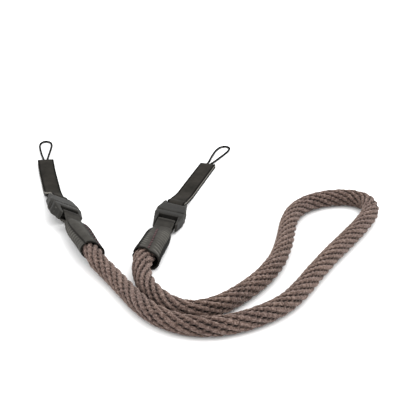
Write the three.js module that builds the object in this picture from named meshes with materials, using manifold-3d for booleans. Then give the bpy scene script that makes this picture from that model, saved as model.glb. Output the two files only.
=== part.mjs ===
// A neck strap of thick braided rope, laid loosely on a surface. The rope turns back in one long hairpin, and
// each of its ends goes into a leather sleeve, a fastened side-release buckle, a leather tab and a thin cord loop.
// Millimetres, +Z up. The origin is on the surface, under the middle of the strap as seen from above.
import * as THREE from "three";
import { mergeVertices } from "three/addons/utils/BufferGeometryUtils.js";
import Module from "manifold-3d";

const wasm = await Module();
wasm.setup();

// Gap between two pieces that touch
const GAP = 0.3;

// Rope
const ROPE_DIAMETER = 9.6;
const ROPE_SIDES = 12;
const ROPE_STEPS = 72;
const ROPE_END_START = 7;
const ROPE_END_OVERLAP = 1.5;

// Leather sleeve: a flattened tube round the rope's end, and a neck that loops round the buckle's bar
const SLEEVE_WIDTH = 15;
const SLEEVE_HEIGHT = 10.6;
const SLEEVE_BODY = 36;
const SLEEVE_LEATHER = 1.5;
const SLEEVE_SIDES = 28;
const POCKET_DEPTH = 16;
const NECK_WIDTH = 9.6;
const NECK_HEIGHT = 4.6;
const NECK_LENGTH = 8.5;
const NECK_TAPER = 1.6;
const POCKET_LEAD = 1;
const GROOVE_ANGLE = 38;
const GROOVE_DEPTH = 0.07;

// Side-release buckle
const BAR_DIAMETER = 2.6;
const BAR_SIDES = 16;
const SLOT_CLEARANCE = 0.4;
const ARM_WALL = 1.4;
const SHOULDER = 1.5;
const FACE_RECESS = 0.4;
const EDGE_BEVEL = 0.7;
const ARM_OVERHANG = 1.2;
const PLUG_SLOT = 4.4;
const PLUG_BASE = 4.8;
const PRONG_LENGTH = 7.8;
const PRONG_HEIGHT = 3.6;
const PRONG_ROOT = 1;
const PRONG_ROOM = 1;
const GUIDE_WIDTH = 3.4;
const GUIDE_HEIGHT = 2.8;
const SOCKET_WALL = 1.3;
const SOCKET_WEB = 1.3;
const BUTTON_AT = 2.1;
const BUTTON_LENGTH = 4;
const WINDOW_REACH = 5;
const TAB_SLOT_ROOM = 0.9;

// Leather tab
const TAB_WIDTH = 10;
const TAB_LAYER = 1.2;
const TAB_LENGTH = 76;
const TAB_SETTLE = 28;
const TAB_MERGE = 9;

// Thin cord loop
const CORD_DIAMETER = 1.3;
const CORD_SIDES = 8;
const CORD_STEPS = 44;

// Sizes that follow from the ones above
const SLOT_HALF = Math.max(NECK_WIDTH, TAB_WIDTH) / 2 + SLOT_CLEARANCE;
const ARM_HALF = SLOT_HALF + ARM_WALL;
const BUCKLE_THICKNESS = BAR_DIAMETER + 2 * (GAP + SLEEVE_LEATHER + FACE_RECESS);
const NECK_LOOP = BAR_DIAMETER / 2 + GAP + SLEEVE_LEATHER;
const TAB_LOOP = BAR_DIAMETER / 2 + GAP + TAB_LAYER;
const PLUG_BAR = ARM_OVERHANG + BAR_DIAMETER / 2;
const PLUG_LENGTH = ARM_OVERHANG + BAR_DIAMETER + PLUG_SLOT + PLUG_BASE;
const SOCKET_START = PLUG_LENGTH + GAP;
const CAVITY_END = PLUG_LENGTH + PRONG_LENGTH + 2 * GAP + PRONG_ROOM;
const TAB_SLOT_START = CAVITY_END + SOCKET_WEB;
const SOCKET_BAR = TAB_SLOT_START + TAB_LAYER + GAP + TAB_SLOT_ROOM + BAR_DIAMETER / 2;
const SOCKET_END = SOCKET_BAR + BAR_DIAMETER / 2;
const SLEEVE_EYE = SLEEVE_BODY + NECK_LENGTH;
const BUCKLE_AT = SLEEVE_EYE - PLUG_BAR;
const TAB_EYE = BUCKLE_AT + SOCKET_BAR;

// The two ends of the strap. mouth is where the rope enters the sleeve, heading is the way from there to the tab
// in degrees from +X, and the rolls turn the sleeve's mouth and the buckle about that line. In tabRoute each row
// gives a point of the tab as shares of its length: along the buckle's line and to the right of it.
const SIDES = [
  {
    name: "left",
    mouth: new THREE.Vector2(-50.9, -54.4),
    heading: 112,
    mouthRoll: 42,
    buckleRoll: 28,
    tabRoute: [
      { along: 0.16, drift: 0.012 },
      { along: 0.35, drift: 0.04 },
      { along: 0.56, drift: 0.072 },
      { along: 0.78, drift: 0.106 },
      { along: 1, drift: 0.147 },
    ],
  },
  {
    name: "right",
    mouth: new THREE.Vector2(-23.4, -58.8),
    heading: 79.5,
    mouthRoll: 24,
    buckleRoll: 8,
    tabRoute: [
      { along: 0.16, drift: 0.001 },
      { along: 0.35, drift: 0.01 },
      { along: 0.56, drift: 0.025 },
      { along: 0.78, drift: 0.042 },
      { along: 1, drift: 0.06 },
    ],
  },
];

// The rope's way on the surface from the left sleeve to the right one, chosen by hand: x, y, and how far the rope
// is lifted off the surface there
const ROPE_ROUTE = [
  [-42.6, -70.6, 0.7],
  [-36.4, -80.8, 0.1],
  [-30.2, -92.2, 0],
  [-23.2, -104.6, 0],
  [-14.4, -115.4, 0],
  [-3.0, -122.2, 0],
  [9.6, -123.4, 0],
  [22.0, -119.0, 0],
  [34.2, -110.6, 0],
  [44.6, -99.4, 0],
  [52.8, -85.2, 0],
  [60.6, -68.8, 0],
  [70.4, -49.4, 0],
  [81.4, -29.4, 0],
  [91.0, -11.2, 0],
  [97.2, 3.0, 0],
  [99.4, 13.4, 0],
  [97.2, 21.6, 0],
  [90.8, 26.2, 0],
  [82.2, 26.4, 0],
  [72.2, 22.8, 0],
  [63.0, 15.6, 0],
  [56.0, 4.6, 0],
  [51.8, -9.0, 0],
  [49.2, -24.6, 0],
  [46.2, -41.6, 0],
  [41.2, -59.8, 0],
  [33.2, -77.2, 0],
  [21.0, -95.2, 0],
  [10.2, -105.8, 0],
  [0.2, -109.2, 0],
  [-7.4, -106.6, 0],
  [-13.6, -100.4, 0],
  [-18.6, -92.6, 0],
  [-22.2, -84.0, 0],
  [-24.2, -75.6, 0.2],
];

// Points outside a mouth where the rope still runs straight out of it: distance, and share of the mouth's lift
const ROPE_LEAVES = [
  { out: 7, lift: 1 },
  { out: 10, lift: 0.85 },
];

// The cord loop's way in its tab's frame, chosen by hand: to the right of the tab's end, and away from it
const CORD_ROUTE = [
  [-1.0, 0],
  [-1.1, 3.5],
  [-1.5, 9],
  [-2.0, 16],
  [-2.3, 23],
  [-2.2, 30],
  [-1.0, 35.4],
  [1.7, 37.9],
  [4.6, 36.2],
  [5.5, 31],
  [4.7, 24],
  [3.4, 16.5],
  [2.2, 9.5],
  [1.3, 3.5],
  [1.0, 0],
];

// The sleeve's body from its mouth to its neck: shares of its length, width and height, and how square it is
const SLEEVE_SECTIONS = [
  { along: 0, width: 1, height: 1, square: 2.4 },
  { along: 0.04, width: 0.985, height: 0.985, square: 2.4 },
  { along: 0.2, width: 0.94, height: 0.96, square: 2.5 },
  { along: 0.45, width: 0.9, height: 0.94, square: 2.6 },
  { along: 0.65, width: 0.88, height: 0.88, square: 2.8 },
  { along: 0.8, width: 0.82, height: 0.74, square: 3.2 },
  { along: 0.91, width: 0.71, height: 0.55, square: 4 },
  { along: 1, width: 0.645, height: 0.45, square: 5 },
];

// The buckle's outlines from above: shares of the plug's or socket's length, and half widths given as shares of the
// shoulder outside the arms
const PLUG_OUTLINE = [
  { along: 0, out: -0.6 },
  { along: 0.04, out: -0.22 },
  { along: 0.1, out: 0 },
  { along: 0.25, out: 0.16 },
  { along: 0.5, out: 0.55 },
  { along: 0.78, out: 1 },
  { along: 1, out: 0.87 },
];
const SOCKET_OUTLINE = [
  { along: 0, out: 0.87 },
  { along: 0.06, out: 1.07 },
  { along: 0.2, out: 1 },
  { along: 0.32, out: 0.74 },
  { along: 0.49, out: 0.3 },
  { along: 0.68, out: 0.07 },
  { along: 0.85, out: -0.05 },
  { along: 0.94, out: -0.3 },
  { along: 1, out: -0.75 },
];

// The buckle from its side: shares of its length and of its thickness, which is less at both ends
const BUCKLE_PROFILE = [
  { along: -0.04, thick: 0.66 },
  { along: 0.03, thick: 0.74 },
  { along: 0.16, thick: 0.8 },
  { along: 0.34, thick: 1.01 },
  { along: 0.74, thick: 1.01 },
  { along: 0.86, thick: 0.86 },
  { along: 1.04, thick: 0.6 },
];

const COLOURS = {
  rope: { color: 0x6b5a55, roughness: 0.95, metalness: 0 },
  leather: { color: 0x565551, roughness: 0.7, metalness: 0 },
  plastic: { color: 0x4b4a48, roughness: 0.5, metalness: 0 },
  tab: { color: 0x34322e, roughness: 0.6, metalness: 0 },
  cord: { color: 0x1f1e1c, roughness: 0.8, metalness: 0 },
};

const radians = THREE.MathUtils.degToRad;
const mix = THREE.MathUtils.lerp;

function settle(share) {
  return THREE.MathUtils.smoothstep(share, 0, 1);
}

// Only the corners' places count, so the same corner is never stored twice
function welded(geometry) {
  geometry.deleteAttribute("normal");
  geometry.deleteAttribute("uv");
  return mergeVertices(geometry, 1e-4);
}

function solid(geometry) {
  const closed = welded(geometry.clone());
  return new wasm.Manifold(
    new wasm.Mesh({
      numProp: 3,
      vertProperties: closed.attributes.position.array,
      triVerts: new Uint32Array(closed.index.array),
    }),
  );
}

function geometryOf(body) {
  const mesh = body.getMesh();
  const geometry = new THREE.BufferGeometry();
  geometry.setAttribute("position", new THREE.BufferAttribute(mesh.vertProperties, 3));
  geometry.setIndex(new THREE.BufferAttribute(mesh.triVerts, 1));
  geometry.computeVertexNormals();
  return geometry;
}

function named(name, body, look) {
  const mesh = new THREE.Mesh(geometryOf(body), new THREE.MeshStandardMaterial(COLOURS[look]));
  mesh.name = name;
  return mesh;
}

function block(width, length, height, x, y, z) {
  return solid(new THREE.BoxGeometry(width, length, height).translate(x, y, z));
}

// A round rod across the strap, with its corners on or outside the radius
function crossRod(radius, width, sides) {
  const corner = radius / Math.cos(Math.PI / sides);
  return new THREE.CylinderGeometry(corner, corner, width, sides).rotateZ(Math.PI / 2);
}

// The corner at angle on a flattened round section of half sizes 1, more nearly a rectangle as square grows
function roundedCorner(x, z, square) {
  const power = 2 / square;
  return [Math.sign(x) * Math.abs(x) ** power, Math.sign(z) * Math.abs(z) ** power];
}

// A closed tube through sections along +Y. Each section has y, z, half width, half height, roll and square, and
// corners whose angle from the top is near the groove's are pulled in by its groove.
function tubeThrough(sections, sides) {
  const tube = welded(new THREE.CylinderGeometry(1, 1, 1, sides, sections.length - 1));
  const place = tube.attributes.position;
  for (let i = 0; i < place.count; i += 1) {
    const row = Math.round((place.getY(i) + 0.5) * (sections.length - 1));
    const section = sections[row];
    const angle = Math.abs(THREE.MathUtils.radToDeg(Math.atan2(place.getX(i), place.getZ(i))));
    const inGroove = Math.abs(angle - GROOVE_ANGLE) < 180 / sides;
    const pull = inGroove ? 1 - (section.groove ?? 0) : 1;
    const [x, z] = roundedCorner(place.getX(i), place.getZ(i), section.square);
    const across = x * section.halfWidth * pull;
    const up = z * section.halfHeight * pull;
    const turned = radians(section.roll);
    place.setXYZ(
      i,
      across * Math.cos(turned) + up * Math.sin(turned),
      section.y,
      section.z - across * Math.sin(turned) + up * Math.cos(turned),
    );
  }
  return tube;
}

// How high the middle of a rolled section lies when its lowest corner touches the surface
function restingHeight(halfWidth, halfHeight, square, roll) {
  const section = { y: 0, z: 0, halfWidth, halfHeight, square, roll };
  const slice = tubeThrough([section, { ...section, y: 1 }], SLEEVE_SIDES);
  slice.computeBoundingBox();
  return -slice.boundingBox.min.z;
}

// The heights and rolls of one end of the strap, from its mouth to where its tab lies flat
function poseOf(side) {
  const mouth = SLEEVE_SECTIONS[0];
  const mouthHeight = restingHeight(
    (SLEEVE_WIDTH * mouth.width) / 2,
    (SLEEVE_HEIGHT * mouth.height) / 2,
    mouth.square,
    side.mouthRoll,
  );
  const roll = radians(side.buckleRoll);
  const buckleHeight =
    (ARM_HALF + SHOULDER - EDGE_BEVEL) * Math.sin(roll) + (BUCKLE_THICKNESS / 2) * Math.cos(roll);
  return {
    mouthHeight,
    buckleHeight,
    sleeveHeight: (y) => mix(mouthHeight, buckleHeight, settle(y / SLEEVE_BODY)),
    sleeveRoll: (y) => mix(side.mouthRoll, side.buckleRoll, settle(y / SLEEVE_BODY)),
    tabHeight: (along) => mix(buckleHeight, TAB_LAYER, settle(along / TAB_SETTLE)),
    tabRoll: (along) => mix(side.buckleRoll, 0, settle(along / TAB_SETTLE)),
  };
}

function sleeveSection(y, share, pose, shrink) {
  return {
    y,
    z: pose.sleeveHeight(y),
    roll: pose.sleeveRoll(y),
    halfWidth: (SLEEVE_WIDTH * share.width) / 2 - shrink,
    halfHeight: (SLEEVE_HEIGHT * share.height) / 2 - shrink,
    square: share.square,
    groove: 0,
  };
}

// A section part-way along the sleeve's table
function sleeveShareAt(y) {
  const along = THREE.MathUtils.clamp(y / SLEEVE_BODY, 0, 1);
  const next = Math.max(1, SLEEVE_SECTIONS.findIndex((row) => row.along >= along));
  const [low, high] = [SLEEVE_SECTIONS[next - 1], SLEEVE_SECTIONS[next]];
  const part = (along - low.along) / (high.along - low.along);
  return {
    width: mix(low.width, high.width, part),
    height: mix(low.height, high.height, part),
    square: mix(low.square, high.square, part),
  };
}

// The leather sleeve: hollow where the rope's end goes in, with an eye through its neck for the buckle's bar
function makeSleeve(pose) {
  const body = SLEEVE_SECTIONS.map((row) => ({
    ...sleeveSection(row.along * SLEEVE_BODY, row, pose, 0),
    groove: row.along < 0.9 ? GROOVE_DEPTH : 0,
  }));
  const neck = (y, halfHeight) => ({
    y,
    z: pose.buckleHeight,
    roll: pose.sleeveRoll(SLEEVE_BODY),
    halfWidth: NECK_WIDTH / 2,
    halfHeight,
    square: 6,
  });
  const neckStart = SLEEVE_EYE - NECK_LOOP - NECK_TAPER;
  const loop = [-25, 0, 25, 48, 68, 82].map((angle) =>
    neck(SLEEVE_EYE + NECK_LOOP * Math.sin(radians(angle)), NECK_LOOP * Math.cos(radians(angle))),
  );
  const outside = solid(tubeThrough([...body, neck(neckStart, NECK_HEIGHT / 2), ...loop], SLEEVE_SIDES));
  const pocket = solid(
    tubeThrough(
      [-POCKET_LEAD, 0, POCKET_DEPTH / 2, POCKET_DEPTH].map((y) =>
        sleeveSection(y, sleeveShareAt(y), pose, SLEEVE_LEATHER),
      ),
      SLEEVE_SIDES,
    ),
  );
  const eye = crossRod(BAR_DIAMETER / 2 + GAP, NECK_WIDTH * 2, BAR_SIDES);
  eye.rotateY(radians(pose.sleeveRoll(SLEEVE_BODY))).translate(0, SLEEVE_EYE, pose.buckleHeight);
  return outside.subtract(pocket).subtract(solid(eye));
}

// The half width at a share of the shoulder outside the arms
function outside(share) {
  return ARM_HALF + share * SHOULDER;
}

// Points of distance along and half width, from an outline's table that starts at start and is length long
function outlineRows(table, start, length) {
  return table.map((row) => [start + row.along * length, outside(row.out)]);
}

// An outline seen from above: rows of distance along and half width up the right side, mirrored down the left
function mirroredShape(rows) {
  const right = rows.map(([along, half]) => new THREE.Vector2(half, along));
  const left = rows.map(([along, half]) => new THREE.Vector2(-half, along)).reverse();
  return new THREE.Shape([...right, ...left]);
}

function plate(shape, thickness, bevel) {
  const options = {
    depth: thickness - 2 * bevel,
    bevelEnabled: bevel > 0,
    bevelThickness: bevel,
    bevelSize: bevel,
    bevelOffset: -bevel,
    bevelSegments: 2,
    curveSegments: 8,
  };
  return solid(new THREE.ExtrudeGeometry(shape, options).translate(0, 0, bevel - thickness / 2));
}

// A body as thick as the buckle's side profile all the way along, and wider than the buckle
function profileBody() {
  const rows = BUCKLE_PROFILE.map((row) => [
    row.along * SOCKET_END,
    (row.thick * BUCKLE_THICKNESS) / 2,
  ]);
  const width = 4 * outside(1);
  const depth = new THREE.ExtrudeGeometry(mirroredShape(rows), { depth: width, bevelEnabled: false });
  return solid(depth.translate(0, 0, -width / 2).rotateY(Math.PI / 2));
}

// The bar that leather loops round, let into the arms on both sides, its corners on its radius
function bar(y) {
  const inner = (BAR_DIAMETER / 2) * Math.cos(Math.PI / BAR_SIDES);
  return solid(crossRod(inner, 2 * SLOT_HALF + ARM_WALL, BAR_SIDES).translate(0, y, 0));
}

// The plug: two arms and a bar, a base plate, and the prongs and guide that sit inside the socket
function makePlug() {
  const slotEnd = ARM_OVERHANG + BAR_DIAMETER + PLUG_SLOT;
  const outline = mirroredShape(outlineRows(PLUG_OUTLINE, 0, PLUG_LENGTH));
  const slot = block(2 * SLOT_HALF, 2 * slotEnd, 2 * BUCKLE_THICKNESS, 0, 0, 0);
  let plug = plate(outline, BUCKLE_THICKNESS, EDGE_BEVEL).intersect(profileBody()).subtract(slot);
  plug = plug.add(bar(PLUG_BAR));
  const root = PLUG_LENGTH - PRONG_ROOT;
  const tip = PLUG_LENGTH + PRONG_LENGTH;
  const button = PLUG_LENGTH + BUTTON_AT;
  const buttonEnd = button + BUTTON_LENGTH;
  const prong = [
    [root, outside(-0.13)],
    [mix(root, button, 0.87), outside(-0.13)],
    [button, outside(0.67)],
    [mix(button, buttonEnd, 0.5), outside(1.07)],
    [buttonEnd, outside(0.4)],
    [mix(buttonEnd, tip, 0.06), outside(-0.33)],
    [mix(buttonEnd, tip, 0.4), outside(-0.87)],
    [tip, outside(-1.47)],
    [tip, outside(-2)],
    [mix(button, buttonEnd, 0.5), outside(-1.6)],
    [root, outside(-1.73)],
  ];
  for (const hand of [-1, 1]) {
    const around = prong.map(([along, half]) => new THREE.Vector2(hand * half, along));
    plug = plug.add(plate(new THREE.Shape(hand > 0 ? around : around.reverse()), PRONG_HEIGHT, 0));
  }
  const guideLength = PRONG_LENGTH + PRONG_ROOT;
  return plug.add(block(GUIDE_WIDTH, guideLength, GUIDE_HEIGHT, 0, root + guideLength / 2, 0));
}

// The socket: a flat box, open towards the plug, with side windows for the prongs and a bar for the tab
function makeSocket() {
  const cavity = [
    [SOCKET_START - 1, outside(0.27)],
    [mix(SOCKET_START, CAVITY_END, 0.66), outside(0.2)],
    [mix(SOCKET_START, CAVITY_END, 0.71), outside(-0.33)],
    [CAVITY_END, outside(-0.93)],
  ];
  const cavityHeight = PRONG_HEIGHT + 2 * GAP;
  const outline = mirroredShape(outlineRows(SOCKET_OUTLINE, SOCKET_START, SOCKET_END - SOCKET_START));
  let socket = plate(outline, cavityHeight + 2 * SOCKET_WALL, EDGE_BEVEL).intersect(profileBody());
  socket = socket.subtract(plate(mirroredShape(cavity), cavityHeight, 0));
  const windowLength = BUTTON_LENGTH + 2 * GAP;
  const windowMiddle = PLUG_LENGTH + BUTTON_AT + BUTTON_LENGTH / 2;
  for (const hand of [-1, 1]) {
    const middle = hand * (outside(-0.27) + WINDOW_REACH / 2);
    socket = socket.subtract(block(WINDOW_REACH, windowLength, cavityHeight, middle, windowMiddle, 0));
  }
  const slotLength = 2 * (SOCKET_END - TAB_SLOT_START);
  socket = socket.subtract(block(2 * SLOT_HALF, slotLength, 2 * BUCKLE_THICKNESS, 0, SOCKET_END, 0));
  return socket.add(bar(SOCKET_BAR));
}

// The middle line of a tab, in its end's frame: straight off the bar, then on through the side's own route
function tabLine(side) {
  const points = [
    new THREE.Vector3(0, TAB_EYE - TAB_LOOP - 1, 0),
    new THREE.Vector3(0, TAB_EYE, 0),
    ...side.tabRoute.map((row) =>
      new THREE.Vector3(row.drift * TAB_LENGTH, TAB_EYE + row.along * TAB_LENGTH, 0),
    ),
  ];
  return new THREE.CatmullRomCurve3(points);
}

// The place and directions of the strip at a distance past the bar, measured along its line
function tabFrame(side, pose, line, distance) {
  const before = TAB_LOOP + 1;
  const share = (value) => THREE.MathUtils.clamp((value + before) / line.getLength(), 0, 1);
  const centre = line.getPointAt(share(distance));
  centre.z = pose.tabHeight(distance);
  const ahead = line.getPointAt(share(distance + 0.5));
  const behind = line.getPointAt(share(distance - 0.5));
  ahead.z = pose.tabHeight(distance + 0.5);
  behind.z = pose.tabHeight(distance - 0.5);
  const along = ahead.sub(behind).normalize();
  const level = new THREE.Vector3().crossVectors(along, new THREE.Vector3(0, 0, 1)).normalize();
  const across = level.applyAxisAngle(along, radians(pose.tabRoll(distance)));
  const up = new THREE.Vector3().crossVectors(across, along);
  return { centre, along, across, up };
}

// Distances past the bar and half thicknesses of the tab: a round loop at the bar, then two layers lying together
function tabSections(length) {
  const loop = [-80, -60, -35, 0].map((angle) => ({
    distance: TAB_LOOP * Math.sin(radians(angle)),
    half: TAB_LOOP * Math.cos(radians(angle)),
  }));
  const closing = [0.25, 0.5, 0.75, 1].map((share) => ({
    distance: share * TAB_MERGE,
    half: mix(TAB_LOOP, TAB_LAYER, settle(share)),
  }));
  const count = Math.round((length - TAB_MERGE) / 4);
  const strip = Array.from({ length: count }, (_, i) => ({
    distance: mix(TAB_MERGE, length, (i + 1) / count),
    half: TAB_LAYER,
  }));
  return [...loop, ...closing, ...strip];
}

function makeTab(side, pose) {
  const line = tabLine(side);
  const length = line.getLength() - TAB_LOOP - 1;
  const sections = tabSections(length);
  const strip = welded(new THREE.BoxGeometry(2, 1, 2, 1, sections.length - 1, 1));
  const place = strip.attributes.position;
  const corner = new THREE.Vector3();
  for (let i = 0; i < place.count; i += 1) {
    const row = Math.round((place.getY(i) + 0.5) * (sections.length - 1));
    const { centre, across, up } = tabFrame(side, pose, line, sections[row].distance);
    corner.copy(centre);
    corner.addScaledVector(across, (place.getX(i) * TAB_WIDTH) / 2);
    corner.addScaledVector(up, place.getZ(i) * sections[row].half);
    place.setXYZ(i, corner.x, corner.y, corner.z);
  }
  const eye = crossRod(BAR_DIAMETER / 2 + GAP, TAB_WIDTH * 2, BAR_SIDES);
  eye.rotateY(radians(side.buckleRoll)).translate(0, TAB_EYE, pose.buckleHeight);
  return solid(strip).subtract(solid(eye));
}

// A regular polygon with a flat side down, its flats on the diameter
function flatBottomed(diameter, sides) {
  const corner = diameter / 2 / Math.cos(Math.PI / sides);
  const points = Array.from({ length: sides }, (_, i) => {
    const angle = ((i + 0.5) / sides) * 2 * Math.PI;
    return new THREE.Vector2(corner * Math.cos(angle), corner * Math.sin(angle));
  });
  return new THREE.Shape(points);
}

function sweptAlong(points, diameter, sides, steps) {
  const curve = new THREE.CatmullRomCurve3(points);
  curve.arcLengthDivisions = 1000;
  const shape = flatBottomed(diameter, sides);
  return solid(new THREE.ExtrudeGeometry(shape, { steps, extrudePath: curve, bevelEnabled: false }));
}

// The thin cord loop lies flat past its tab's end: both ends leave the tab's folded end face side by side
function makeCordLoop(side, pose) {
  const line = tabLine(side);
  const length = line.getLength() - TAB_LOOP - 1;
  const end = tabFrame(side, pose, line, length);
  const lying = CORD_DIAMETER / 2 / Math.cos(Math.PI / CORD_SIDES) + 0.02;
  const points = CORD_ROUTE.map(([right, away]) => {
    const point = end.centre.clone();
    point.addScaledVector(end.across, right).addScaledVector(end.along, away + GAP);
    point.z = mix(TAB_LAYER, lying, settle(away / 8));
    return point;
  });
  return sweptAlong(points, CORD_DIAMETER, CORD_SIDES, CORD_STEPS);
}

// A direction on the surface from the mouth of a sleeve towards its buckle
function headingOf(side) {
  return new THREE.Vector2(Math.cos(radians(side.heading)), Math.sin(radians(side.heading)));
}

// The rope's two points just outside a mouth, nearest first
function leavingPoints(side, pose) {
  const rise = pose.mouthHeight - ROPE_DIAMETER / 2;
  return ROPE_LEAVES.map(({ out, lift }) => {
    const point = side.mouth.clone().addScaledVector(headingOf(side), -out);
    return new THREE.Vector3(point.x, point.y, ROPE_DIAMETER / 2 + rise * lift);
  });
}

// The rope's end, pressed from round to the flat shape of the pocket that it fills
function ropeEnd(side, pose) {
  const round = (y, share) => ({
    y,
    z: pose.mouthHeight,
    roll: side.mouthRoll,
    halfWidth: (ROPE_DIAMETER / 2) * share,
    halfHeight: (ROPE_DIAMETER / 2) * share,
    square: 2,
  });
  const pressed = (y, near) => sleeveSection(y, sleeveShareAt(near), pose, SLEEVE_LEATHER + GAP);
  const sections = [
    round(-ROPE_END_START - ROPE_END_OVERLAP, 0.95),
    round(-ROPE_END_START, 0.97),
    round(-ROPE_END_START * 0.6, 0.98),
    pressed(-GAP, 0),
    pressed(POCKET_DEPTH / 2, POCKET_DEPTH / 2),
    pressed(POCKET_DEPTH - GAP, POCKET_DEPTH - GAP),
  ];
  const matrix = new THREE.Matrix4().makeRotationZ(radians(side.heading - 90));
  matrix.setPosition(side.mouth.x, side.mouth.y, 0);
  return solid(tubeThrough(sections, SLEEVE_SIDES).applyMatrix4(matrix));
}

function makeRope(poses) {
  const [left, right] = SIDES;
  const points = [
    ...leavingPoints(left, poses[0]),
    ...ROPE_ROUTE.map(([x, y, lift]) => new THREE.Vector3(x, y, ROPE_DIAMETER / 2 + lift)),
    ...leavingPoints(right, poses[1]).reverse(),
  ];
  const tube = sweptAlong(points, ROPE_DIAMETER, ROPE_SIDES, ROPE_STEPS);
  return tube.add(ropeEnd(left, poses[0])).add(ropeEnd(right, poses[1]));
}

// One end of the strap in a group at its sleeve's mouth, with +Y running towards the tab
function makeEnd(side, pose) {
  const end = new THREE.Group();
  end.position.set(side.mouth.x, side.mouth.y, 0);
  end.rotation.z = radians(side.heading - 90);
  end.add(named(`sleeve_${side.name}`, makeSleeve(pose), "leather"));
  const buckle = new THREE.Group();
  buckle.position.set(0, BUCKLE_AT, pose.buckleHeight);
  buckle.rotation.y = radians(side.buckleRoll);
  buckle.add(named(`buckle_plug_${side.name}`, makePlug(), "plastic"));
  buckle.add(named(`buckle_socket_${side.name}`, makeSocket(), "plastic"));
  end.add(buckle);
  end.add(named(`tab_${side.name}`, makeTab(side, pose), "tab"));
  end.add(named(`cord_loop_${side.name}`, makeCordLoop(side, pose), "cord"));
  return end;
}

const strap = new THREE.Group();
const poses = SIDES.map(poseOf);
strap.add(named("rope", makeRope(poses), "rope"));
SIDES.forEach((side, i) => strap.add(makeEnd(side, poses[i])));

// Stand the strap on the surface, with the origin under the middle of its box. The thin loops, which lie as they
// fall, don't count in that box.
strap.updateMatrixWorld(true);
const box = new THREE.Box3();
strap.traverse((piece) => {
  if (piece.isMesh && !piece.name.startsWith("cord_loop")) box.expandByObject(piece, true);
});
const middle = box.getCenter(new THREE.Vector3());
strap.position.set(-middle.x, -middle.y, -box.min.z);

export default strap;
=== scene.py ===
"""Looks for a braided rope neck strap that lies on a pale floor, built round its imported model.

Metres, +Z up. Sizes are written in millimetres times MM. The rope's route and the places of the two mouths
are the model's own, given in the route's coordinates, and ORIGIN is where the model's origin lies in them.
"""

import math

import bpy
import numpy as np
from mathutils import Matrix, Vector


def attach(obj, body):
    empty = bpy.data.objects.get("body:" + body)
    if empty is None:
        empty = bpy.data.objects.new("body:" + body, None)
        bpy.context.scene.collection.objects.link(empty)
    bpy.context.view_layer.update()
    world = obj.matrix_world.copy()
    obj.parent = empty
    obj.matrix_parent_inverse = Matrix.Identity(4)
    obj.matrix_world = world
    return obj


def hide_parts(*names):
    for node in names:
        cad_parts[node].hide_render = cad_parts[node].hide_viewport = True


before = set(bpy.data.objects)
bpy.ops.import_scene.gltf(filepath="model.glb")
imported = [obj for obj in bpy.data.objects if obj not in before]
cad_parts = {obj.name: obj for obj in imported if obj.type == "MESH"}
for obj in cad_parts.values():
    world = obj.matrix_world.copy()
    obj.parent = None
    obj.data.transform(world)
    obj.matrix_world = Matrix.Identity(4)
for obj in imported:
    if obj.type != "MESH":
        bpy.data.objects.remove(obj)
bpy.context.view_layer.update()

MM = 0.001
ORIGIN = np.array([2.118, -21.367, -0.074]) * MM

# Sizes of the model
GAP = 0.3 * MM
ROPE_DIAMETER = 9.6 * MM
SLEEVE_WIDTH = 15 * MM
SLEEVE_HEIGHT = 10.6 * MM
SLEEVE_BODY = 36 * MM
SLEEVE_LEATHER = 1.5 * MM
SLEEVE_RIM = 0.8 * MM
NECK_WIDTH = 9.6 * MM
NECK_LENGTH = 8.5 * MM
BAR_DIAMETER = 2.6 * MM
BUCKLE_THICKNESS = 7 * MM
BUCKLE_HALF_WIDTH = 7.6 * MM
BUCKLE_BARS_APART = 24.9 * MM
TAB_WIDTH = 10 * MM
TAB_LAYER = 1.2 * MM
TAB_LENGTH = 76 * MM
TAB_SETTLE = 28 * MM
TAB_LEAD = 1 * MM
CORD_DIAMETER = 1.3 * MM
BAR_AT = SLEEVE_BODY + NECK_LENGTH
TAB_EYE = BAR_AT + BUCKLE_BARS_APART

# How finely lines are worked out
MOUTH_SAMPLES = 721
TAB_SAMPLES = 1200
ROPE_SAMPLES = 6000
LOOP_SAMPLES = 800
TANGENT_STEP = 0.5 * MM

# The two ends of the strap. mouth is where the rope enters the sleeve, heading is the way from there to the
# tab in degrees from +X, and the rolls are about that way. slimness is the share of its width that the worn
# sleeve keeps at its mouth, rope_spread is how much the rope widens to fill it, and rope_shift is how far to
# the right of its middle the rope lies there. seam, crease and ribbed are degrees from the sleeve's own top.
# edges are dark bands of painted shade on the sleeve's sides: first and last degree from straight up, and
# strength. tab_route gives shares of the tab's length, along the way and to the right of it.
SIDES = {
    "left": {
        "mouth": (-0.0509, -0.0544),
        "heading": 112.0,
        "mouth_roll": 42.0,
        "buckle_roll": 28.0,
        "slimness": 0.86,
        "rope_spread": 1.0,
        "rope_shift": 0.0,
        "seam": 10.0,
        "crease": -75.0,
        "edges": [(-150, -96, 0.6), (26, 80, 0.6)],
        "ribbed": [(-160, -84)],
        "tab_route": [(0.16, 0.012), (0.35, 0.04), (0.56, 0.072), (0.78, 0.106), (1.0, 0.147)],
    },
    "right": {
        "mouth": (-0.0234, -0.0588),
        "heading": 79.5,
        "mouth_roll": 24.0,
        "buckle_roll": 8.0,
        "slimness": 0.97,
        "rope_spread": 0.4,
        "rope_shift": -0.0011,
        "seam": -6.0,
        "crease": -100.0,
        "edges": [(-84, -22, 0.95), (69, 124, 0.95)],
        "ribbed": [(8, 64), (-60, -24)],
        "tab_route": [(0.16, 0.001), (0.35, 0.01), (0.56, 0.025), (0.78, 0.042), (1.0, 0.06)],
    },
}

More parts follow.
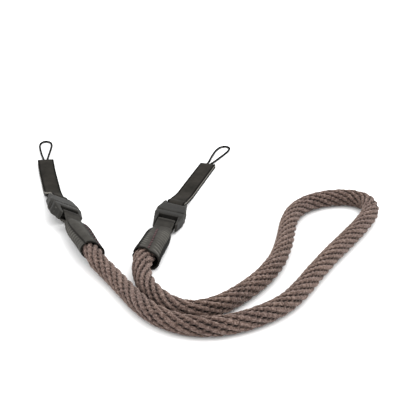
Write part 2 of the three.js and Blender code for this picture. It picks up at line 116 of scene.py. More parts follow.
# The rope's way on the floor from the left sleeve to the right one: x, y and its lift off the floor
ROPE_ROUTE = [
    (-0.0426, -0.0706, 0.0007),
    (-0.0364, -0.0808, 0.0001),
    (-0.0302, -0.0922, 0.0),
    (-0.0232, -0.1046, 0.0),
    (-0.0144, -0.1154, 0.0),
    (-0.0030, -0.1222, 0.0),
    (0.0096, -0.1234, 0.0),
    (0.0220, -0.1190, 0.0),
    (0.0342, -0.1106, 0.0),
    (0.0446, -0.0994, 0.0),
    (0.0528, -0.0852, 0.0),
    (0.0606, -0.0688, 0.0),
    (0.0704, -0.0494, 0.0),
    (0.0814, -0.0294, 0.0),
    (0.0910, -0.0112, 0.0),
    (0.0972, 0.0030, 0.0),
    (0.0994, 0.0134, 0.0),
    (0.0972, 0.0216, 0.0),
    (0.0908, 0.0262, 0.0),
    (0.0822, 0.0264, 0.0),
    (0.0722, 0.0228, 0.0),
    (0.0630, 0.0156, 0.0),
    (0.0560, 0.0046, 0.0),
    (0.0518, -0.0090, 0.0),
    (0.0492, -0.0246, 0.0),
    (0.0462, -0.0416, 0.0),
    (0.0412, -0.0598, 0.0),
    (0.0332, -0.0772, 0.0),
    (0.0210, -0.0952, 0.0),
    (0.0102, -0.1058, 0.0),
    (0.0002, -0.1092, 0.0),
    (-0.0074, -0.1066, 0.0),
    (-0.0136, -0.1004, 0.0),
    (-0.0186, -0.0926, 0.0),
    (-0.0222, -0.0840, 0.0),
    (-0.0242, -0.0756, 0.0002),
]

# Distances outside a mouth where the rope runs straight out of it, and shares of the mouth's lift there
ROPE_LEAVES = [(7 * MM, 1.0), (10 * MM, 0.85)]

# The cord loop's way past a tab's end: to the right of it and away from it
CORD_ROUTE = [
    (-0.0010, 0.0),
    (-0.0011, 0.0035),
    (-0.0015, 0.009),
    (-0.0020, 0.016),
    (-0.0023, 0.023),
    (-0.0022, 0.030),
    (-0.0010, 0.0354),
    (0.0017, 0.0379),
    (0.0046, 0.0362),
    (0.0055, 0.031),
    (0.0047, 0.024),
    (0.0034, 0.0165),
    (0.0022, 0.0095),
    (0.0013, 0.0035),
    (0.0010, 0.0),
]

# The sleeve from its mouth to its neck: shares of its length, width and height, and how square it is
SLEEVE_SECTIONS = [
    (0.0, 1.0, 1.0, 2.4),
    (0.04, 0.985, 0.985, 2.4),
    (0.2, 0.94, 0.96, 2.5),
    (0.45, 0.9, 0.94, 2.6),
    (0.65, 0.88, 0.88, 2.8),
    (0.8, 0.82, 0.74, 3.2),
    (0.91, 0.71, 0.55, 4.0),
    (1.0, 0.645, 0.45, 5.0),
]


# Lines and frames


def smoothstep(share):
    share = np.clip(share, 0, 1)
    return share * share * (3 - 2 * share)


def mix(a, b, share):
    return a + (b - a) * share


def smooth_line(points, samples):
    """A centripetal Catmull-Rom line through points, the kind of line that the model's rope follows."""
    points = np.asarray(points, float)
    padded = np.vstack([2 * points[0] - points[1], points, 2 * points[-1] - points[-2]])
    place = np.linspace(0, len(points) - 1, samples)
    whole = np.minimum(place.astype(int), len(points) - 2)
    weight = (place - whole)[:, None]
    p0, p1, p2, p3 = (padded[whole + k] for k in range(4))
    d0, d1, d2 = (
        np.sqrt(np.linalg.norm(b - a, axis=1))[:, None] for a, b in ((p0, p1), (p1, p2), (p2, p3))
    )
    t1 = ((p1 - p0) / d0 - (p2 - p0) / (d0 + d1) + (p2 - p1) / d1) * d1
    t2 = ((p2 - p1) / d1 - (p3 - p1) / (d1 + d2) + (p3 - p2) / d2) * d1
    c2 = -3 * p1 + 3 * p2 - 2 * t1 - t2
    c3 = 2 * p1 - 2 * p2 + t1 + t2
    return p1 + t1 * weight + c2 * weight**2 + c3 * weight**3


def distances(line):
    return np.concatenate([[0], np.cumsum(np.linalg.norm(np.diff(line, axis=0), axis=1))])


def evenly(line, step):
    """The line again with points a step apart, and each point's distance from the start."""
    along = distances(line)
    count = max(2, round(along[-1] / step))
    want = np.linspace(0, along[-1], count + 1)
    return np.stack([np.interp(want, along, line[:, k]) for k in range(3)], axis=1), want


def unit(vectors):
    return vectors / np.linalg.norm(vectors, axis=-1, keepdims=True)


def level_frames(line):
    """Sideways and upward directions at each point of a line that lies nearly level."""
    tangent = unit(np.gradient(line, axis=0))
    sideways = unit(np.cross(tangent, (0, 0, 1)))
    return sideways, np.cross(sideways, tangent)


def superellipse(angles, square):
    """Unit points of a rounded section, angles clockwise from its top."""
    power = 2 / np.asarray(square, float)
    x, z = np.sin(angles), np.cos(angles)
    return np.sign(x) * np.abs(x) ** power, np.sign(z) * np.abs(z) ** power


class End:
    """One end of the strap. Its own frame has its origin under the mouth and +Y running to the tab."""

    def __init__(self, name, values):
        self.name = name
        self.heading = math.radians(values["heading"])
        self.mouth_roll = math.radians(values["mouth_roll"])
        self.buckle_roll = math.radians(values["buckle_roll"])
        self.slimness = values["slimness"]
        self.rope_spread = values["rope_spread"]
        self.rope_shift = values["rope_shift"]
        self.seam = values["seam"]
        self.crease = values["crease"]
        self.edges = values["edges"]
        self.ribbed = values["ribbed"]
        self.mouth = np.array([*values["mouth"], 0.0]) - ORIGIN
        self.along = np.array([math.cos(self.heading), math.sin(self.heading), 0.0])
        self.right = np.array([math.sin(self.heading), -math.cos(self.heading), 0.0])
        x, z = superellipse(np.linspace(0, 2 * math.pi, MOUTH_SAMPLES), SLEEVE_SECTIONS[0][3])
        x, z = x * SLEEVE_WIDTH / 2, z * SLEEVE_HEIGHT / 2
        self.mouth_height = float(np.max(x * math.sin(self.mouth_roll) + z * math.cos(self.mouth_roll)))
        self.buckle_height = BUCKLE_HALF_WIDTH * math.sin(self.buckle_roll)
        self.buckle_height += BUCKLE_THICKNESS / 2 * math.cos(self.buckle_roll)
        route = [(0, TAB_EYE - self.tab_start(), 0), (0, TAB_EYE, 0)]
        route += [
            (drift * TAB_LENGTH, TAB_EYE + share * TAB_LENGTH, 0)
            for share, drift in values["tab_route"]
        ]
        self.tab_line = smooth_line(route, TAB_SAMPLES)
        self.tab_distance = distances(self.tab_line) - self.tab_start()
        self.tab_end = self.tab_distance[-1]

    @staticmethod
    def tab_start():
        """How far before the bar the tab's line begins."""
        return BAR_DIAMETER / 2 + GAP + TAB_LAYER + TAB_LEAD

    def world(self, points):
        """Points of this end's own frame in the model's frame."""
        points = np.asarray(points, float)
        return (
            self.mouth
            + points[..., :1] * self.right
            + points[..., 1:2] * self.along
            + points[..., 2:] * np.array([0, 0, 1.0])
        )

    def sleeve_height(self, y):
        return mix(self.mouth_height, self.buckle_height, smoothstep(y / SLEEVE_BODY))

    def sleeve_roll(self, y):
        return mix(self.mouth_roll, self.buckle_roll, smoothstep(y / SLEEVE_BODY))

    def tab_frame(self, distance):
        """Centre, along, across and up directions of the tab's strip at distances past the bar."""
        distance = np.atleast_1d(np.asarray(distance, float))

        def centre(at):
            xy = [np.interp(at, self.tab_distance, self.tab_line[:, k]) for k in range(2)]
            height = mix(self.buckle_height, TAB_LAYER, smoothstep(at / TAB_SETTLE))
            return np.stack([*xy, height], axis=1)

        middle = centre(distance)
        over = np.maximum(distance - self.tab_end, 0)[:, None]
        tangent = unit(centre(np.minimum(distance, self.tab_end)) - centre(distance - TANGENT_STEP))
        middle = middle + tangent * over
        level = unit(np.cross(tangent, (0, 0, 1.0)))
        upward = np.cross(level, tangent)
        roll = mix(self.buckle_roll, 0, smoothstep(distance / TAB_SETTLE))[:, None]
        across = level * np.cos(roll) - upward * np.sin(roll)
        up = level * np.sin(roll) + upward * np.cos(roll)
        return middle, tangent, across, up


ENDS = {name: End(name, values) for name, values in SIDES.items()}


# Meshes


def new_object(name, vertices, faces, material, smooth=True, attributes=None):
    mesh = bpy.data.meshes.new(name)
    mesh.from_pydata([tuple(v) for v in vertices], [], faces)
    mesh.validate()
    if smooth:
        mesh.polygons.foreach_set("use_smooth", [True] * len(mesh.polygons))
    for label, values in (attributes or {}).items():
        layer = mesh.attributes.new(label, "FLOAT", "POINT")
        layer.data.foreach_set("value", np.asarray(values, np.float32))
    mesh.update()
    piece = bpy.data.objects.new(name, mesh)
    bpy.context.scene.collection.objects.link(piece)
    piece.data.materials.append(material)
    return piece


def grid_faces(rows, columns, start):
    """Quads between rows of points, each row closed on itself."""
    faces = []
    for i in range(rows - 1):
        for j in range(columns):
            k = (j + 1) % columns
            a, b = start + i * columns, start + (i + 1) * columns
            faces.append((a + j, a + k, b + k, b + j))
    return faces


def end_cap(first, columns):
    return tuple(range(first, first + columns))


class Parts:
    """Vertices, faces and point attributes of several closed bodies that make one piece."""

    def __init__(self, *labels):
        self.vertices, self.faces, self.attributes = [], [], {label: [] for label in labels}
        self.count = 0

    def add_rows(self, rows, **attributes):
        """Adds rows of points. Each row is a closed ring, and the first and last are capped."""
        rows = np.asarray(rows, float)
        many, columns = rows.shape[:2]
        self.vertices.append(rows.reshape(-1, 3))
        self.faces += grid_faces(many, columns, self.count)
        self.faces.append(end_cap(self.count, columns)[::-1])
        self.faces.append(end_cap(self.count + (many - 1) * columns, columns))
        for label, store in self.attributes.items():
            store.append(np.broadcast_to(attributes.get(label, 0.0), (many, columns)).reshape(-1))
        self.count += many * columns

    def build(self, name, material):
        attributes = {label: np.concatenate(store) for label, store in self.attributes.items()}
        vertices = np.concatenate(self.vertices)
        return outward(new_object(name, vertices, self.faces, material, attributes=attributes))


def outward(piece):
    """Turns the faces so that they point out."""
    bpy.context.view_layer.objects.active = piece
    for other in bpy.context.selected_objects:
        other.select_set(False)
    piece.select_set(True)
    bpy.ops.object.mode_set(mode="EDIT")
    bpy.ops.mesh.select_all(action="SELECT")
    bpy.ops.mesh.normals_make_consistent(inside=False)
    bpy.ops.object.mode_set(mode="OBJECT")
    piece.select_set(False)
    return piece


# Materials


# How much brighter the studio is than would just turn the floor white on screen
STUDIO_LEVEL = 1.4


def srgb(red, green, blue):
    """Linear colour from 0 to 255 screen values, for a piece seen in the studio's light."""
    linear = [
        (c / 255) / 12.92 if c <= 10 else ((c / 255 + 0.055) / 1.055) ** 2.4
        for c in (red, green, blue)
    ]
    return (*(value / STUDIO_LEVEL for value in linear), 1.0)


def grey(share):
    """A plain grey that lets a share of another colour through where it is multiplied."""
    return (share, share, share, 1.0)


class Shader:
    """A small helper that adds nodes to one material and links them."""

    def __init__(self, name, roughness, specular):
        self.material = bpy.data.materials.new(name)
        self.material.use_nodes = True
        self.nodes = self.material.node_tree.nodes
        self.links = self.material.node_tree.links
        self.bsdf = self.nodes["Principled BSDF"]
        self.bsdf.inputs["Roughness"].default_value = roughness
        self.bsdf.inputs["Specular IOR Level"].default_value = specular

    def add(self, kind, **values):
        node = self.nodes.new(kind)
        for key, value in values.items():
            if key in node.inputs:
                node.inputs[key].default_value = value
            else:
                setattr(node, key, value)
        return node

    def link(self, start, end):
        self.links.new(start, end)

    def place(self):
        return self.add("ShaderNodeTexCoord").outputs["Object"]

    def attribute(self, label):
        return self.add("ShaderNodeAttribute", attribute_name=label).outputs["Fac"]

    def noise(self, scale, detail, roughness=0.6):
        node = self.add("ShaderNodeTexNoise", Scale=scale, Detail=detail, Roughness=roughness)
        self.link(self.place(), node.inputs["Vector"])
        return node.outputs["Fac"]

    def voronoi(self, scale):
        node = self.add("ShaderNodeTexVoronoi", Scale=scale, feature="DISTANCE_TO_EDGE")
        self.link(self.place(), node.inputs["Vector"])
        return node.outputs["Distance"]

    def math(self, operation, a, b=None):
        node = self.add("ShaderNodeMath", operation=operation)
        for socket, value in zip(node.inputs, (a, b)):
            if value is None:
                continue
            if isinstance(value, (int, float)):
                socket.default_value = value
            else:
                self.link(value, socket)
        return node.outputs["Value"]

    def ramp(self, value, *stops):
        """A colour ramp through (position, colour) stops."""
        node = self.add("ShaderNodeValToRGB")
        elements = node.color_ramp.elements
        while len(elements) < len(stops):
            elements.new(0.5)
        for element, (position, colour) in zip(elements, stops):
            element.position = position
            element.color = colour
        self.link(value, node.inputs["Fac"])
        return node.outputs["Color"]

    def blend(self, factor, a, b, kind="MIX"):
        """Colour a with colour b mixed in, or blended in another kind's way, by a factor."""
        node = self.add("ShaderNodeMix", data_type="RGBA", blend_type=kind)
        colours = [socket for socket in node.inputs if socket.type == "RGBA"]
        for socket, value in zip((node.inputs[0], *colours), (factor, a, b)):
            if isinstance(value, (int, float, tuple)):
                socket.default_value = value
            else:
                self.link(value, socket)
        return next(socket for socket in node.outputs if socket.type == "RGBA")

    def colour(self, value):
        self.link(value, self.bsdf.inputs["Base Color"])

    def roughness(self, value, low, high):
        node = self.add("ShaderNodeMapRange")
        self.link(value, node.inputs["Value"])
        node.inputs["To Min"].default_value = low
        node.inputs["To Max"].default_value = high
        self.link(node.outputs["Result"], self.bsdf.inputs["Roughness"])

    def bump(self, heights):
        """Bumps from (height, distance, strength) rows, one over the other."""
        previous = None
        for height, distance, strength in heights:
            node = self.add("ShaderNodeBump", Strength=strength, Distance=distance)
            self.link(height, node.inputs["Height"])
            if previous is not None:
                self.link(previous, node.inputs["Normal"])
            previous = node.outputs["Normal"]
        self.link(previous, self.bsdf.inputs["Normal"])


def rope_material():
    """Fuzzy cotton yarn, with painted shade that darkens it deep between the strands."""
    shader = Shader("rope_cotton", roughness=0.95, specular=0.15)
    shader.bsdf.inputs["Sheen Weight"].default_value = 0.35
    shader.bsdf.inputs["Sheen Roughness"].default_value = 0.5
    shader.bsdf.inputs["Sheen Tint"].default_value = srgb(205, 190, 182)
    depth = shader.attribute("depth")
    yarn = shader.attribute("yarn")
    mottled = shader.noise(1100, detail=3.0)
    broad = shader.noise(45, detail=2.0)
    light = shader.ramp(
        mottled,
        (0.38, srgb(72, 56, 50)),
        (0.5, srgb(114, 94, 86)),
        (0.63, srgb(168, 147, 137)),
    )
    tint = shader.ramp(broad, (0.35, srgb(101, 85, 82)), (0.65, srgb(124, 103, 91)))
    body = shader.blend(0.35, light, tint)
    # Painted shade: the deeper the yarn lies under the rope's outside, the darker its colour
    deep = shader.ramp(
        depth,
        (0.0, (0.04, 0.03, 0.03, 1)),
        (0.35, (0.16, 0.13, 0.12, 1)),
        (0.75, (0.8, 0.78, 0.77, 1)),
        (1.0, grey(1)),
    )
    shader.colour(shader.blend(1.0, body, deep, "MULTIPLY"))
    threads = shader.math("SINE", shader.math("MULTIPLY", yarn, 2 * math.pi))
    shader.bump([(threads, 0.12 * MM, 0.5), (mottled, 0.3 * MM, 0.9)])
    return shader.material


def sleeve_material():
    """Dark grey leather with a fine grain: ribs lighter from use and a painted highlight, painted shade in
    folds and lining.
    """
    shader = Shader("sleeve_leather", roughness=0.6, specular=0.02)
    grain = shader.voronoi(1500)
    soft = shader.noise(160, detail=4.0)
    fine = shader.noise(1300, detail=3.0)
    rib = shader.attribute("rib")
    base = shader.ramp(soft, (0.3, srgb(50, 48, 45)), (0.7, srgb(72, 70, 66)))
    # Ribs lightened by use together with a painted highlight
    worn_and_highlit = shader.blend(rib, base, srgb(108, 106, 101))
    # The attribute's painted shade darkens folds, sides, lining and the neck's fold, and it also holds the
    # rim's dark dye and the neck's darker tone
    deep = shader.ramp(shader.attribute("open"), (0.0, grey(0.12)), (1.0, grey(1)))
    shader.colour(shader.blend(1.0, worn_and_highlit, deep, "MULTIPLY"))
    shader.roughness(fine, 0.5, 0.75)
    shader.bump([(grain, 0.06 * MM, 0.35), (fine, 0.08 * MM, 0.4)])
    return shader.material


def tab_material():
    """Black smooth leather, darker where it is burnished, with a painted highlight along its cut edges."""
    shader = Shader("tab_leather", roughness=0.5, specular=0.003)
    soft = shader.noise(130, detail=4.0)
    fine = shader.noise(1600, detail=3.0)
    grain = shader.voronoi(1900)
    edge = shader.attribute("edge")
    base = shader.ramp(soft, (0.3, srgb(38, 37, 34)), (0.7, srgb(57, 54, 50)))
    burnished = shader.blend(shader.attribute("burnish"), base, srgb(16, 16, 15))
    # Painted highlight along the cut edges
    shader.colour(shader.blend(edge, burnished, srgb(128, 125, 118)))
    shader.roughness(fine, 0.42, 0.62)
    shader.bump([(grain, 0.05 * MM, 0.3), (fine, 0.05 * MM, 0.35)])
    return shader.material


def buckle_material():
    """Dark grey moulded plastic: fine spark texture, faint scuffs, painted highlight and rubbing on edges,
    painted shade in crevices.
    """
    shader = Shader("buckle_plastic", roughness=0.45, specular=0.05)
    spark = shader.noise(2600, detail=2.0)
    scuffs = shader.noise(220, detail=5.0, roughness=0.7)
    base = shader.ramp(scuffs, (0.35, srgb(32, 31, 29)), (0.65, srgb(50, 49, 46)))
    bend = shader.add("ShaderNodeNewGeometry").outputs["Pointiness"]
    # Painted highlight on convex edges, which also stands for rubbing
    rubbed_and_highlit = shader.ramp(bend, (0.51, srgb(0, 0, 0)), (0.55, srgb(72, 70, 67)))
    # Painted shade in crevices
    crevice_shade = shader.ramp(bend, (0.46, grey(0.12)), (0.494, grey(1)))
    worn_and_highlit = shader.blend(1.0, base, rubbed_and_highlit, "SCREEN")
    shader.colour(shader.blend(1.0, worn_and_highlit, crevice_shade, "MULTIPLY"))
    shader.roughness(scuffs, 0.38, 0.58)
    shader.bump([(spark, 0.04 * MM, 0.35)])
    return shader.material


def thread_material():
    """Muted maroon waxed thread."""
    shader = Shader("stitch_thread", roughness=0.7, specular=0.3)
    fibre = shader.noise(2400, detail=2.0)
    shader.colour(shader.ramp(fibre, (0.3, srgb(70, 47, 50)), (0.7, srgb(92, 62, 66))))
    shader.bump([(fibre, 0.05 * MM, 0.6)])
    return shader.material


def cord_material():
    """Thin black braided cord."""
    shader = Shader("loop_cord", roughness=0.75, specular=0.05)
    fibre = shader.noise(2600, detail=2.0)
    shader.colour(shader.ramp(fibre, (0.3, srgb(8, 8, 8)), (0.7, srgb(24, 23, 22))))
    weave = shader.math("SINE", shader.math("MULTIPLY", shader.attribute("yarn"), 2 * math.pi))
    shader.bump([(weave, 0.06 * MM, 0.6), (fibre, 0.03 * MM, 0.4)])
    return shader.material


MATERIALS = {
    "rope": rope_material(),
    "sleeve": sleeve_material(),
    "tab": tab_material(),
    "buckle": buckle_material(),
    "thread": thread_material(),
    "cord": cord_material(),
}


# Camera

SENSOR_WIDTH = 36
PHOTO_WIDTH_PX = 400
FOCAL_PX = 1011
CAMERA_PITCH = 23.06
CAMERA_ROLL = 1.13
CAMERA_EYE = np.array([0.0030, -0.5125, 0.2309])
CLIP_START = 0.01


def make_camera():
    data = bpy.data.cameras.new("camera")
    data.sensor_width = SENSOR_WIDTH
    data.lens = FOCAL_PX / PHOTO_WIDTH_PX * SENSOR_WIDTH
    data.clip_start = CLIP_START
    camera = bpy.data.objects.new("camera", data)
    bpy.context.scene.collection.objects.link(camera)
    pitch = Matrix.Rotation(math.radians(90 - CAMERA_PITCH), 4, "X")
    roll = Matrix.Rotation(math.radians(CAMERA_ROLL), 4, "Z")
    camera.matrix_world = Matrix.Translation(Vector(CAMERA_EYE - ORIGIN)) @ pitch @ roll
    bpy.context.scene.camera = camera


make_camera()


# Rope

# How the strands and the core are meshed, and how many points of the line lie from one row of the core to the
# next
STRANDS_EACH_WAY = 8
STRAND_STEP = 0.8 * MM
STRAND_SIDES = 8
STRAND_YARNS = 6
STRAND_YARN_TURN = 5 * MM
CORE_RADIUS = 2.9 * MM
CORE_SIDES = 16
CORE_EVERY = 3

# Two sets of strands: which way they wind, their sideways travel per length, half thickness and half width,
# how far their middle lies inside the rope's outside, how far they rise and sink where they cross, how far
# they wander, and how much painted shade darkens them where they dip
STRANDS = {
    "ribs": {
        "way": -1,
        "turn": 0.53,
        "thick": 1.0 * MM,
        "wide": 1.1 * MM,
        "inside": 1.03 * MM,
        "rise": 0.1 * MM,
        "wander": 0.07 * MM,
        "dip_shade": 0.3,
    },
    "ties": {
        "way": 1,
        "turn": 0.8,
        "thick": 0.7 * MM,
        "wide": 0.8 * MM,
        "inside": 1.56 * MM,
        "rise": 0.36 * MM,
        "wander": 0.14 * MM,
        "dip_shade": 0.0,
    },
}

# The strands' unevenness: the lengths of its two waves, how much it changes from strand to strand, and the
# shares of their width that strands gain where they rise and where they wander
WANDER_LONG = 11 * MM
WANDER_SHORT = 4.3 * MM
WANDER_SHIFT = 2.1
SWELL_RISING = 0.12
SWELL_WANDERING = 0.16

# How deep under the rope's outside the painted shade on the yarn is darkest, and how short the painted shade
# in the dips is
DARKEST_SHADE_DEPTH = 1.6 * MM
DIP_SHADE_LENGTH = 0.1

# The rope's hidden ends: their length, how many points place them, how far outside the mouth their shift is
# whole, how far out the rope is pressed, and the share of its thickness that it loses to its end
ROPE_END_LENGTH = 15 * MM
ROPE_END_POINTS = 5
ROPE_SHIFTED_OUT = 3.5 * MM
ROPE_SQUEEZE_LENGTH = 7 * MM
ROPE_END_TAPER = 0.12

# Where the rope thickens again after the left sleeve: the start and length of that, and the share kept before
THIN_RUN = (25 * MM, 75 * MM, 0.92)


def rope_centreline():
    """The rope's middle line from inside the left sleeve to inside the right one."""
    left, right = ENDS["left"], ENDS["right"]

    def leaving(end):
        rise = end.mouth_height - ROPE_DIAMETER / 2
        shift = np.linspace(0, end.rope_shift, ROPE_END_POINTS)
        depth = np.linspace(ROPE_END_LENGTH, -ROPE_SHIFTED_OUT, ROPE_END_POINTS)
        inside = [(x, y, end.mouth_height) for x, y in zip(shift, depth)]
        outside = [(0, -out, ROPE_DIAMETER / 2 + rise * lift) for out, lift in ROPE_LEAVES]
        return end.world(np.array(inside + outside))

    route = np.array([(x, y, ROPE_DIAMETER / 2 + lift) for x, y, lift in ROPE_ROUTE]) - ORIGIN
    points = np.vstack([leaving(left), route, leaving(right)[::-1]])
    return smooth_line(points, ROPE_SAMPLES)


def rope_thinness(along):
    """Share of its thickness that the rope keeps, as it is stretched a little by the left sleeve."""
    start, length, share = THIN_RUN
    stretched = 1 - smoothstep((along - ROPE_END_LENGTH - start) / length)
    return mix(1, share, stretched)


def rope_section(along, total):
    """Half width, half height and roll of the rope's section, which is pressed flat in the sleeves."""
    from_left = along - ROPE_END_LENGTH
    from_right = total - along - ROPE_END_LENGTH
    outside = np.minimum(from_left, from_right)
    pressed = 1 - smoothstep(outside / ROPE_SQUEEZE_LENGTH)
    slimness = np.where(from_left < from_right, ENDS["left"].slimness, ENDS["right"].slimness)
    flat_width = SLEEVE_WIDTH / 2 * slimness - SLEEVE_RIM
    flat_height = SLEEVE_HEIGHT / 2 * (1 + slimness) / 2 - SLEEVE_RIM
    radius = ROPE_DIAMETER / 2 * rope_thinness(along)
    spread = np.where(from_left < from_right, ENDS["left"].rope_spread, ENDS["right"].rope_spread)
    half_width = mix(radius, mix(radius, flat_width, spread), pressed)
    half_height = mix(radius, flat_height, pressed)
    narrowed = 1 - ROPE_END_TAPER * np.clip(-outside / ROPE_END_LENGTH, 0, 1)
    roll = np.where(from_left < from_right, ENDS["left"].mouth_roll, -ENDS["right"].mouth_roll)
    return half_width * narrowed, half_height * narrowed, roll


def make_rope():
    """Two sets of strands wound opposite ways, each going over and under the other, round a core dark with
    painted shade.
    """
    line, along = evenly(rope_centreline(), STRAND_STEP)
    line[:, 2] -= (1 - rope_thinness(along)) * ROPE_DIAMETER / 2
    sideways, upward = level_frames(line)
    half_width, half_height, roll = rope_section(along, along[-1])
    wide = sideways * np.cos(roll)[:, None] + upward * np.sin(roll)[:, None]
    tall = upward * np.cos(roll)[:, None] - sideways * np.sin(roll)[:, None]
    radius = ROPE_DIAMETER / 2
    wide *= (half_width / radius)[:, None]
    tall *= (half_height / radius)[:, None]

    def on_rope(angle, out):
        return wide * (np.cos(angle) * out)[:, None] + tall * (np.sin(angle) * out)[:, None]

    parts = Parts("depth", "yarn")
    meeting = STRANDS_EACH_WAY * sum(strand["turn"] for strand in STRANDS.values()) / radius / (2 * math.pi)
    around = math.pi + np.arange(STRAND_SIDES) / STRAND_SIDES * 2 * math.pi
    for strand in STRANDS.values():
        way = strand["way"]
        for number in range(STRANDS_EACH_WAY):
            angle = 2 * math.pi * number / STRANDS_EACH_WAY + way * strand["turn"] / radius * along
            crossing = number + meeting * along
            wave = -way * np.cos(2 * math.pi * crossing)
            wander = np.sin(along / WANDER_SHORT + WANDER_SHIFT * number)
            wander = wander * np.sin(along / WANDER_LONG + number)
            lift = strand["rise"] * wave + strand["wander"] * wander
            dip_shade = strand["dip_shade"] * np.exp(-(np.cos(math.pi * crossing) ** 2) / DIP_SHADE_LENGTH)
            centre = line + on_rope(angle, radius - strand["inside"] + lift)
            out = unit(on_rope(angle, np.ones(len(along))))
            forward = unit(np.gradient(centre, axis=0))
            out = unit(out - (out * forward).sum(1)[:, None] * forward)
            side = np.cross(forward, out)
            swell = (1 + SWELL_RISING * wave + SWELL_WANDERING * wander)[:, None, None]
            rows = centre[:, None, :] + (
                out[:, None, :] * (np.cos(around) * strand["thick"])[None, :, None]
                + side[:, None, :] * (np.sin(around) * strand["wide"])[None, :, None] * swell
            )
            squeeze = np.sqrt(half_width * half_height)[:, None] / radius
            reach = np.linalg.norm(rows - line[:, None, :], axis=2) / squeeze
            # Painted shade: 0 is darkest deep in the rope and 1 at its outside, with darker dips where a
            # strand sinks
            depth = (reach - (radius - DARKEST_SHADE_DEPTH)) / DARKEST_SHADE_DEPTH - dip_shade[:, None]
            yarn = around / (2 * math.pi) * STRAND_YARNS + along[:, None] / STRAND_YARN_TURN
            parts.add_rows(rows, depth=np.clip(depth, 0, 1), yarn=yarn)
    turn = np.arange(CORE_SIDES) / CORE_SIDES * 2 * math.pi
    core = np.stack([line + on_rope(a, np.full(len(along), CORE_RADIUS)) for a in turn], axis=1)
    # The core has no depth values, so it takes the darkest painted shade
    parts.add_rows(core[::CORE_EVERY])
    rope = parts.build("rope_braid", MATERIALS["rope"])
    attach(rope, "root")
    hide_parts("rope")


make_rope()


# Thin cord loops

# How a loop is meshed and comes down from its tab's end. The model's own cord has flat sides.
LOOP_STEP = 0.5 * MM
LOOP_SIDES = 10
LOOP_YARNS = 4
LOOP_YARN_TURN = 1.4 * MM
LOOP_SETTLE = 8 * MM
LOOP_CLEARANCE = 0.02 * MM
SOLID_CORD_SIDES = 8


def make_cord_loop(end):
    """A thin cord that leaves the tab's end between its layers, turns back and goes in beside itself."""
    centre, tangent, across, _ = (v[0] for v in end.tab_frame(end.tab_end))
    lying = CORD_DIAMETER / 2 / math.cos(math.pi / SOLID_CORD_SIDES) + LOOP_CLEARANCE
    points = []
    for right, away in CORD_ROUTE:
        point = centre + across * right + tangent * (away + GAP)
        point[2] = mix(TAB_LAYER, lying, smoothstep(away / LOOP_SETTLE))
        points.append(point)
    line, along = evenly(smooth_line(end.world(np.array(points)), LOOP_SAMPLES), LOOP_STEP)
    sideways, upward = level_frames(line)
    around = np.arange(LOOP_SIDES) / LOOP_SIDES * 2 * math.pi
    rows = line[:, None, :] + CORD_DIAMETER / 2 * (
        sideways[:, None, :] * np.cos(around)[None, :, None]
        + upward[:, None, :] * np.sin(around)[None, :, None]
    )
    parts = Parts("yarn")
    parts.add_rows(rows, yarn=around / (2 * math.pi) * LOOP_YARNS + along[:, None] / LOOP_YARN_TURN)
    loop = parts.build(f"cord_loop_{end.name}_braid", MATERIALS["cord"])
    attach(loop, "root")
    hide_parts(f"cord_loop_{end.name}")


for end in ENDS.values():
    make_cord_loop(end)


# Sleeves

# How a sleeve is meshed: its outside, the turned rim of its mouth, the lining behind that and its closed tip
SLEEVE_ROWS = 150
SLEEVE_COLUMNS = 160
SLEEVE_SOFTENING = 19
SLIMNESS_ENDS = 0.8
RIM_ROWS = 6
RIM_TURN = (0.12, 0.88)
RIM_REACH = 0.3
LINING_ROWS = 8
LINING_START = 0.02
LINING_DEPTH = 13 * MM
TIP_SHARES = [0.25, 0.5, 0.72, 0.88, 0.97]
TIP_LENGTH = 1.6 * MM
TIP_SHRINK = 0.55

# The leather's relief: depths and heights, and widths in degrees round the sleeve
CREASE_DEPTH = 0.6 * MM
CREASE_WIDTH = 6
CREASE_SWAY = 8
SEAM_DEPTH = 0.3 * MM
SEAM_WIDTH = 7
BULGE_HEIGHT = 0.35 * MM
BULGE_WIDTH = 26
OVERLAP_STEP = 0.22 * MM
OVERLAP_LENGTH = 1.3 * MM
OVERLAP_PAST_SEAM = 3
OVERLAP_LAST = 150
OVERLAP_SOFT = 8

# Ribs: how far apart they are, how high they rise and from which share of that, how sharp they are, how far
# they slant in a quarter turn, how soft their ends are in degrees, and how uneven they are
RIB_PITCH = 2.7 * MM
RIB_HEIGHT = 0.36 * MM
RIB_TROUGH = 0.4
RIB_SHARPNESS = 1.5
RIB_SLANT = 3 * MM
RIB_SOFT = 14
RIB_UNEVEN = 0.28
RIB_UNEVEN_LENGTH = 3.7 * MM
RIB_UNEVEN_TURN = 31

# Where the relief begins and where things fade towards the neck: shares of the sleeve's length
RELIEF_BEGINS = 0.04
RELIEF_FADES = (0.72, 0.2)
FOLDS_FADE = (0.78, 0.22)
SIDE_SHADE_FADES = (0.86, 0.14)
OVERLAP_FADES = (0.0, 0.2)

# Wear and a painted highlight on the ribs, painted shade in the folds, sides and lining, and the rim's dark
# dye, from 0 to 1, with the shades' widths in degrees
RIB_WEAR_AND_HIGHLIGHT = 0.75
PLAIN_WEAR = 0.12
CREASE_SHADE = 0.85
CREASE_SHADE_WIDTH = 5
SEAM_SHADE = 0.35
SEAM_SHADE_WIDTH = 6
SIDE_SHADE_SOFT = 12
DARKEST = 0.05
RIM_DARK_DYE = 0.4
LINING_PAINTED_SHADE = 0.12


def sleeve_table(end, share):
    """Half width, half height and squareness at shares of the sleeve's length."""
    table = np.array(SLEEVE_SECTIONS)
    width, height, square = (np.interp(share, table[:, 0], table[:, k]) for k in (1, 2, 3))
    slimness = mix(end.slimness, 1, smoothstep(share / SLIMNESS_ENDS))
    half_width = width * SLEEVE_WIDTH / 2 * slimness
    half_height = height * SLEEVE_HEIGHT / 2 * (1 + slimness) / 2
    return half_width, half_height, square


